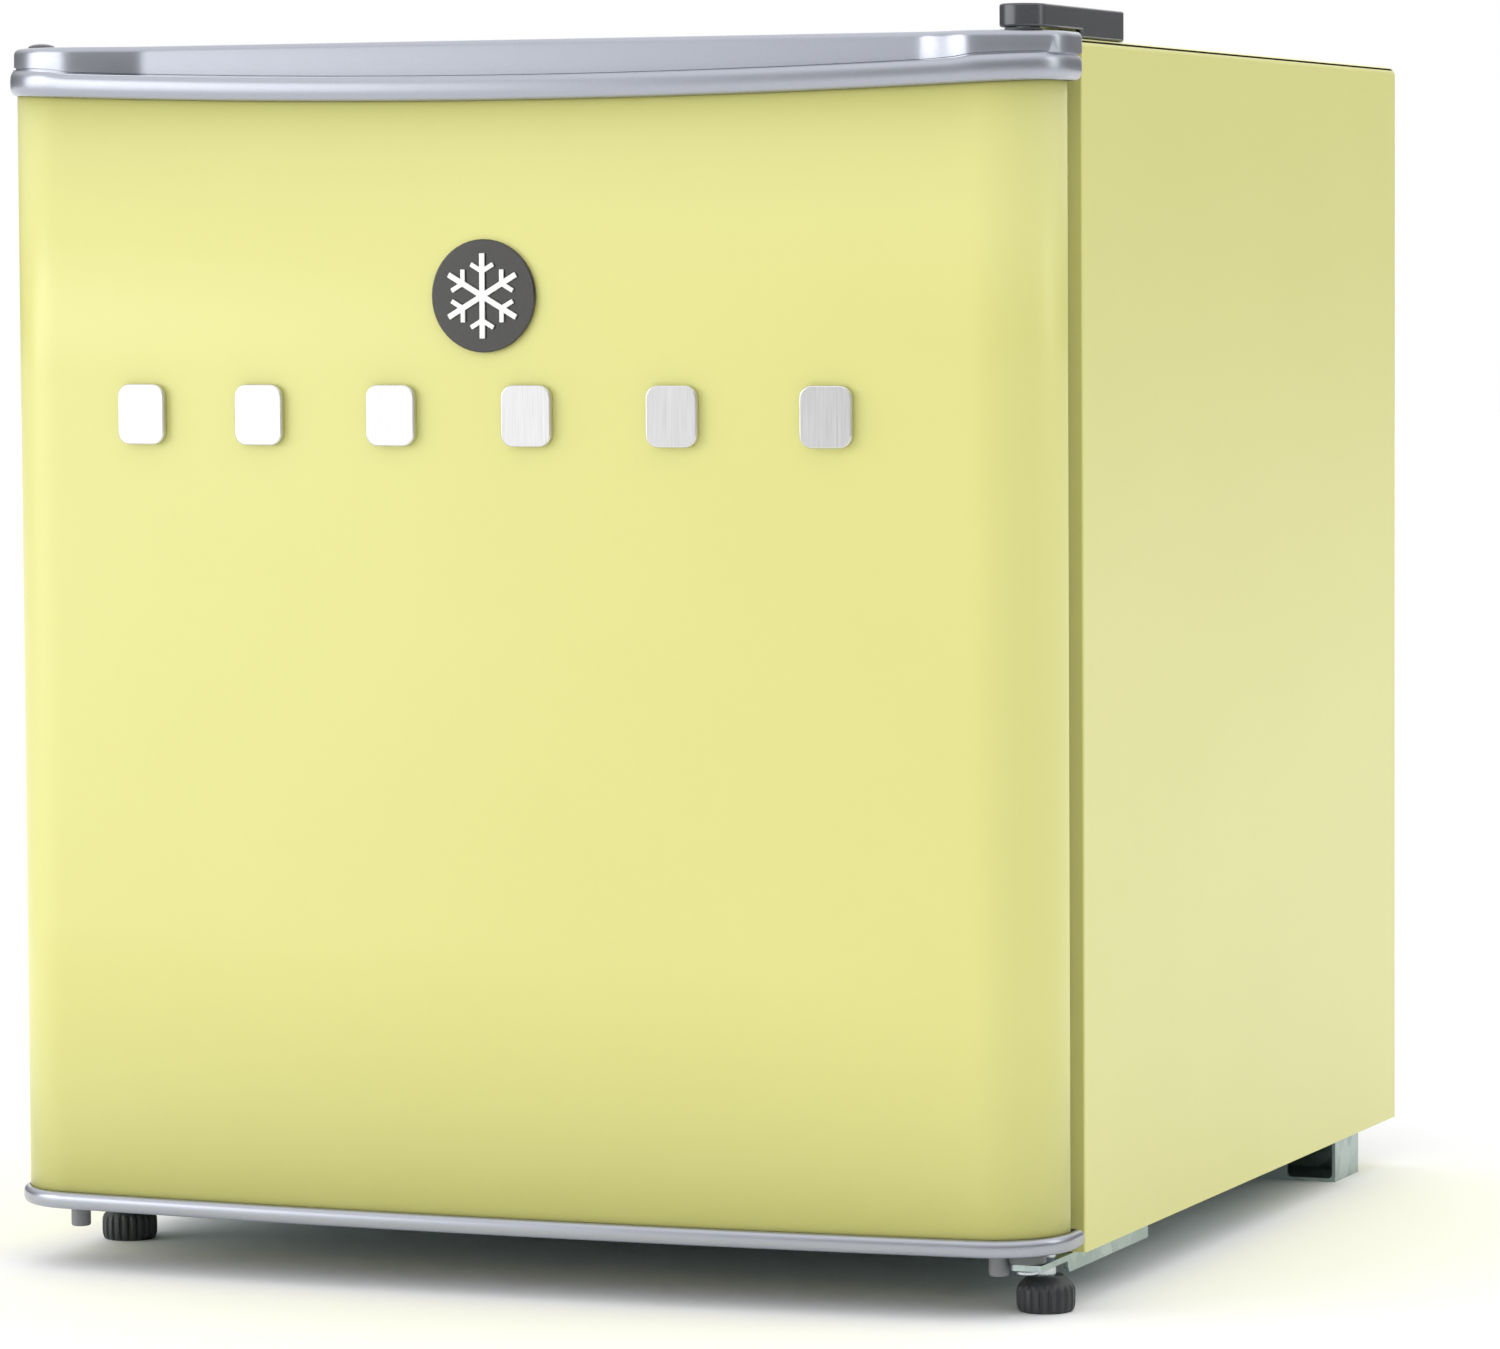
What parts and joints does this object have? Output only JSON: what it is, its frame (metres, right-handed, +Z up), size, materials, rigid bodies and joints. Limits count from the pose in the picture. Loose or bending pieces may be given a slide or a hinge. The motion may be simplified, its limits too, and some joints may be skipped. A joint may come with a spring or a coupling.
{
  "type": "mini fridge",
  "caption": "Cube mini fridge: one bowed door on right-hand hinges with silver end caps, freezer box, sliding shelf and tray, compressor bay at the back.",
  "frame": {"origin": "on the floor, under the middle of the whole fridge", "axes": "+X to the viewer's right, the hinge side; +Y to the back, so the door faces -Y; +Z up"},
  "size_m": [0.4506, 0.4846, 0.5012],
  "materials": {
    "painted_yellow": "gloss",
    "galvanised": "satin",
    "foam": "matte",
    "white_plastic": "gloss",
    "copper": "satin",
    "aluminium": "satin",
    "black_enamel": "gloss",
    "black_plastic": "matte",
    "rubber": "matte",
    "zinc": "satin",
    "frosted_plastic": "satin",
    "white_wire": "gloss",
    "dark_grey": "satin",
    "silver": "satin",
    "gasket": "matte",
    "nylon": "matte",
    "grey_plastic": "matte",
    "white_enamel": "gloss",
    "brushed_trim": "satin"
  },
  "bodies": {
    "cabinet": {"cabinet_shell": "painted_yellow", "back_panel": "galvanised", "base_plate": "galvanised", "cabinet_foam": "foam", "inner_liner": "white_plastic", "condenser_tube": "copper", "evaporator": "aluminium", "suction_tube": "copper", "capillary_tube": "copper", "filter_dryer": "copper", "compressor": "black_enamel", "compressor_relay_cover": "black_plastic", "compressor_mount_plate": "galvanised", "compressor_grommet_1": "rubber", "compressor_grommet_2": "rubber", "compressor_grommet_3": "rubber", "compressor_grommet_4": "rubber", "mount_plate_screw_1": "zinc", "mount_plate_screw_2": "zinc", "freezer_frame": "white_plastic", "thermostat_housing": "white_plastic", "thermostat_body": "zinc", "upper_hinge_bracket": "galvanised", "upper_hinge_pin": "zinc", "upper_hinge_screw_1": "zinc", "upper_hinge_screw_2": "zinc", "upper_hinge_cover": "dark_grey", "lower_hinge_bracket": "galvanised", "lower_hinge_pin": "zinc", "lower_hinge_screw_1": "zinc", "lower_hinge_screw_2": "zinc"},
    "door": {"door_skin": "painted_yellow", "door_top_cap": "silver", "door_bottom_cap": "silver", "door_foam": "foam", "door_liner": "white_plastic", "door_gasket": "gasket", "door_rack_upper": "frosted_plastic", "door_rack_lower": "frosted_plastic", "hinge_bush_upper": "nylon", "hinge_bush_lower": "nylon", "cap_plug": "dark_grey", "stop_peg_left": "grey_plastic", "stop_peg_right": "grey_plastic", "badge_plate": "black_plastic", "badge_snowflake": "white_enamel", "trim_stud_1": "brushed_trim", "trim_stud_2": "brushed_trim", "trim_stud_3": "brushed_trim", "trim_stud_4": "brushed_trim", "trim_stud_5": "brushed_trim", "trim_stud_6": "brushed_trim"},
    "freezer_flap": {"freezer_flap": "frosted_plastic"},
    "drip_tray": {"drip_tray": "frosted_plastic"},
    "wire_shelf": {"wire_shelf": "white_wire"},
    "thermostat_knob": {"thermostat_knob": "white_plastic"},
    "foot_left": {"foot_left_knob": "black_plastic", "foot_left_stud": "zinc"},
    "foot_right": {"foot_right_knob": "black_plastic", "foot_right_stud": "zinc"}
  },
  "joints": [
    {"name": "door_hinge", "type": "hinge", "parent": "cabinet", "child": "door", "pos_m": [0.2094, -0.21265, 0.25], "axis": [0, 0, 1], "range_deg": [0, 125]},
    {"name": "freezer_flap_hinge", "type": "hinge", "parent": "cabinet", "child": "freezer_flap", "pos_m": [-0.039, -0.06165, 0.44], "axis": [-1, 0, 0], "range_deg": [0, 85]},
    {"name": "drip_tray_slide", "type": "slide", "parent": "cabinet", "child": "drip_tray", "axis": [0, -1, 0], "range_m": [0, 0.085]},
    {"name": "shelf_slide", "type": "slide", "parent": "cabinet", "child": "wire_shelf", "axis": [0, -1, 0], "range_m": [0, 0.036]},
    {"name": "thermostat_turn", "type": "hinge", "parent": "cabinet", "child": "thermostat_knob", "pos_m": [0.148, -0.05265, 0.429], "axis": [0, -1, 0], "range_deg": [0, 270]},
    {"name": "foot_left_turn", "type": "hinge", "parent": "cabinet", "child": "foot_left", "pos_m": [-0.2107, -0.14565, 0.006], "axis": [0, 0, 1], "continuous": true},
    {"name": "foot_right_turn", "type": "hinge", "parent": "cabinet", "child": "foot_right", "pos_m": [0.211, -0.19605, 0.006], "axis": [0, 0, 1], "continuous": true}
  ]
}
